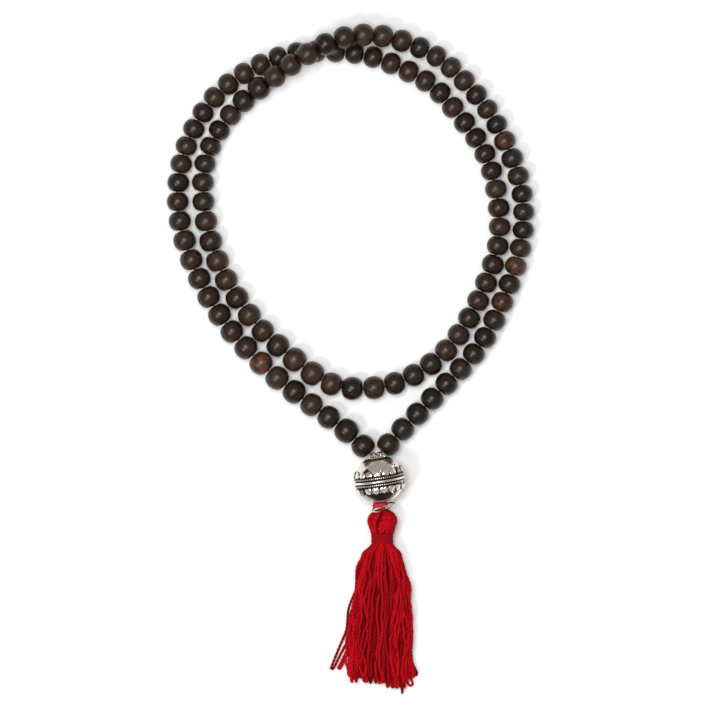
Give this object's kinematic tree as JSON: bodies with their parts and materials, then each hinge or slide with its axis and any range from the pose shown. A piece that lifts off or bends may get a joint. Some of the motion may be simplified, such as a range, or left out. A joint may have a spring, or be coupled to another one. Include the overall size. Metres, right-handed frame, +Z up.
{
  "type": "mala prayer beads",
  "caption": "Strand of dark wooden prayer beads on a red cord, laid flat as a double loop that ends in a hollow silver guru bead with heart-shaped granules and a red yarn tassel.",
  "frame": {"origin": "on the table under the middle of the overall box, strand laid flat", "axes": "+Y from the tassel to the far end of the loop, +X to the right seen from above, +Z up from the table"},
  "size_m": [0.1394, 0.253, 0.0194],
  "materials": {
    "wood": "oiled dark hardwood, satin",
    "cord": "thin plied cotton cord",
    "thread": "cotton thread wound close",
    "silver": "antique silver, softly polished",
    "oxidised_silver": "darkened silver wire",
    "yarn": "two-ply cotton yarn, matt"
  },
  "bodies": {
    "strand_lower": {"beads_lower": "wood", "cord_lower": "cord"},
    "strand_row_1": {"beads_row_1": "wood", "cord_row_1": "cord"},
    "strand_row_2": {"beads_row_2": "wood", "cord_row_2": "cord"},
    "strand_row_3": {"beads_row_3": "wood", "cord_row_3": "cord"},
    "strand_row_4": {"beads_row_4": "wood", "cord_row_4": "cord"},
    "strand_row_5": {"beads_row_5": "wood", "cord_row_5": "cord"},
    "strand_row_6": {"beads_row_6": "wood", "cord_row_6": "cord"},
    "strand_row_7": {"beads_row_7": "wood", "cord_row_7": "cord"},
    "strand_row_8": {"beads_row_8": "wood", "cord_row_8": "cord"},
    "strand_row_9": {"beads_row_9": "wood", "cord_row_9": "cord"},
    "strand_row_10": {"beads_row_10": "wood", "cord_row_10": "cord"},
    "strand_row_11": {"beads_row_11": "wood", "cord_row_11": "cord"},
    "strand_row_12": {"beads_row_12": "wood", "cord_row_12": "cord"},
    "strand_top": {"beads_top": "wood", "cord_top": "cord"},
    "strand_front": {"cord_front": "cord"},
    "strand_yoke": {"cord_yoke": "cord"},
    "bead_1": {"bead_1": "wood"},
    "bead_2": {"bead_2": "wood"},
    "bead_3": {"bead_3": "wood"},
    "bead_4": {"bead_4": "wood"},
    "bead_5": {"bead_5": "wood"},
    "bead_104": {"bead_104": "wood"},
    "bead_105": {"bead_105": "wood"},
    "bead_106": {"bead_106": "wood"},
    "bead_107": {"bead_107": "wood"},
    "bead_108": {"bead_108": "wood"},
    "guru_hitch": {"yoke_knot": "thread"},
    "pendant": {"pendant_cord": "thread", "thread_wrap": "thread", "rim_ring": "silver"},
    "guru": {"guru_upper_shell": "silver", "guru_lower_shell": "silver", "guru_band": "silver", "guru_upper_wire": "oxidised_silver", "guru_lower_wire": "oxidised_silver", "guru_upper_hearts": "silver", "guru_lower_hearts": "silver", "guru_top_collar": "silver", "guru_bottom_collar": "silver"},
    "tassel_link": {"tassel_loop": "yarn"},
    "tassel": {"tassel_head": "yarn", "tassel_neck": "thread", "tassel_skirt": "yarn"}
  },
  "joints": [
    {"name": "guru_lift", "type": "hinge", "parent": "guru_hitch", "child": "pendant", "pos_m": [0.00958, -0.03662, 0.01022], "axis": [-1, 0, 0], "range_deg": [0, 45]},
    {"name": "guru_spin", "type": "hinge", "parent": "pendant", "child": "guru", "pos_m": [0.011, -0.0461, 0.00972], "axis": [-0.1476, 0.9877, 0.0523], "continuous": true},
    {"name": "guru_swing", "type": "hinge", "parent": "strand_yoke", "child": "guru_hitch", "pos_m": [0.00958, -0.03662, 0.01022], "axis": [0, 0, 1], "range_deg": [-8, 8]},
    {"name": "tassel_lift", "type": "hinge", "parent": "tassel_link", "child": "tassel", "pos_m": [0.0124, -0.0555, 0.0095], "axis": [-1, 0, 0], "range_deg": [0, 34]},
    {"name": "tassel_swing", "type": "hinge", "parent": "pendant", "child": "tassel_link", "pos_m": [0.0124, -0.0555, 0.0095], "axis": [0, 0, 1], "range_deg": [-4, 14]},
    {"name": "strand_fold_01", "type": "hinge", "parent": "strand_lower", "child": "strand_row_1", "pos_m": [0.00076, 0.00903, 0.00435], "axis": [0.9965, -0.0837, 0], "range_deg": [0, 13]},
    {"name": "strand_fold_02", "type": "hinge", "parent": "strand_row_1", "child": "strand_row_2", "pos_m": [0.00129, 0.01536, 0.00433], "axis": [0.9965, -0.0837, 0], "range_deg": [0, 13]},
    {"name": "strand_fold_03", "type": "hinge", "parent": "strand_row_2", "child": "strand_row_3", "pos_m": [0.00185, 0.022, 0.00432], "axis": [0.9965, -0.0837, 0], "range_deg": [0, 13]},
    {"name": "strand_fold_04", "type": "hinge", "parent": "strand_row_3", "child": "strand_row_4", "pos_m": [0.00242, 0.02882, 0.00429], "axis": [0.9965, -0.0837, 0], "range_deg": [0, 13]},
    {"name": "strand_fold_05", "type": "hinge", "parent": "strand_row_4", "child": "strand_row_5", "pos_m": [0.00301, 0.03583, 0.00429], "axis": [0.9965, -0.0837, 0], "range_deg": [0, 13]},
    {"name": "strand_fold_06", "type": "hinge", "parent": "strand_row_5", "child": "strand_row_6", "pos_m": [0.00361, 0.04301, 0.00428], "axis": [0.9965, -0.0837, 0], "range_deg": [0, 13]},
    {"name": "strand_fold_07", "type": "hinge", "parent": "strand_row_6", "child": "strand_row_7", "pos_m": [0.00421, 0.05016, 0.00421], "axis": [0.9965, -0.0837, 0], "range_deg": [0, 13]},
    {"name": "strand_fold_08", "type": "hinge", "parent": "strand_row_7", "child": "strand_row_8", "pos_m": [0.00481, 0.05729, 0.00417], "axis": [0.9965, -0.0837, 0], "range_deg": [0, 13]},
    {"name": "strand_fold_09", "type": "hinge", "parent": "strand_row_8", "child": "strand_row_9", "pos_m": [0.00541, 0.06439, 0.00416], "axis": [0.9965, -0.0837, 0], "range_deg": [0, 13]},
    {"name": "strand_fold_10", "type": "hinge", "parent": "strand_row_9", "child": "strand_row_10", "pos_m": [0.00598, 0.07127, 0.00413], "axis": [0.9965, -0.0837, 0], "range_deg": [0, 13]},
    {"name": "strand_fold_11", "type": "hinge", "parent": "strand_row_10", "child": "strand_row_11", "pos_m": [0.00654, 0.07786, 0.00414], "axis": [0.9965, -0.0837, 0], "range_deg": [0, 13]},
    {"name": "strand_fold_12", "type": "hinge", "parent": "strand_row_11", "child": "strand_row_12", "pos_m": [0.00707, 0.08417, 0.00415], "axis": [0.9965, -0.0837, 0], "range_deg": [0, 13]},
    {"name": "strand_fold_13", "type": "hinge", "parent": "strand_row_12", "child": "strand_top", "pos_m": [0.00757, 0.09014, 0.00423], "axis": [0.9965, -0.0837, 0], "range_deg": [0, 9]},
    {"name": "strand_fold_front", "type": "hinge", "parent": "strand_lower", "child": "strand_front", "pos_m": [0.00552, -0.02224, 0.00443], "axis": [-0.9933, 0.1157, 0], "range_deg": [0, 13]},
    {"name": "strand_fold_yoke", "type": "hinge", "parent": "strand_front", "child": "strand_yoke", "pos_m": [0.0095, -0.03025, 0.00455], "axis": [-0.9994, -0.0333, 0], "range_deg": [0, 13]},
    {"name": "turn_bead_1", "type": "hinge", "parent": "strand_yoke", "child": "bead_1", "pos_m": [0.00475, -0.0335, 0.00487], "axis": [-0.675, 0.7364, -0.0464], "continuous": true},
    {"name": "turn_bead_2", "type": "hinge", "parent": "strand_front", "child": "bead_2", "pos_m": [-0.0015, -0.02775, 0.00468], "axis": [-0.7863, 0.6178, 0], "continuous": true},
    {"name": "turn_bead_3", "type": "hinge", "parent": "strand_front", "child": "bead_3", "pos_m": [-0.00827, -0.02262, 0.00455], "axis": [-0.8088, 0.5873, -0.0303], "continuous": true},
    {"name": "turn_bead_4", "type": "hinge", "parent": "strand_lower", "child": "bead_4", "pos_m": [-0.01477, -0.01787, 0.00447], "axis": [-0.8055, 0.5925, 0.0105], "continuous": true},
    {"name": "turn_bead_5", "type": "hinge", "parent": "strand_lower", "child": "bead_5", "pos_m": [-0.02133, -0.01296, 0.00451], "axis": [-0.795, 0.6067, 0], "continuous": true},
    {"name": "turn_bead_104", "type": "hinge", "parent": "strand_lower", "child": "bead_104", "pos_m": [0.03642, -0.0099, 0.00437], "axis": [-0.6961, -0.7179, 0.0056], "continuous": true},
    {"name": "turn_bead_105", "type": "hinge", "parent": "strand_lower", "child": "bead_105", "pos_m": [0.03095, -0.01558, 0.00441], "axis": [-0.6906, -0.7232, 0.0044], "continuous": true},
    {"name": "turn_bead_106", "type": "hinge", "parent": "strand_lower", "child": "bead_106", "pos_m": [0.02539, -0.02134, 0.00443], "axis": [-0.6986, -0.7155, 0], "continuous": true},
    {"name": "turn_bead_107", "type": "hinge", "parent": "strand_front", "child": "bead_107", "pos_m": [0.01979, -0.02711, 0.00442], "axis": [-0.6943, -0.7197, -0.0014], "continuous": true},
    {"name": "turn_bead_108", "type": "hinge", "parent": "strand_yoke", "child": "bead_108", "pos_m": [0.0144, -0.0329, 0.00468], "axis": [-0.666, -0.7428, 0.0686], "continuous": true}
  ]
}
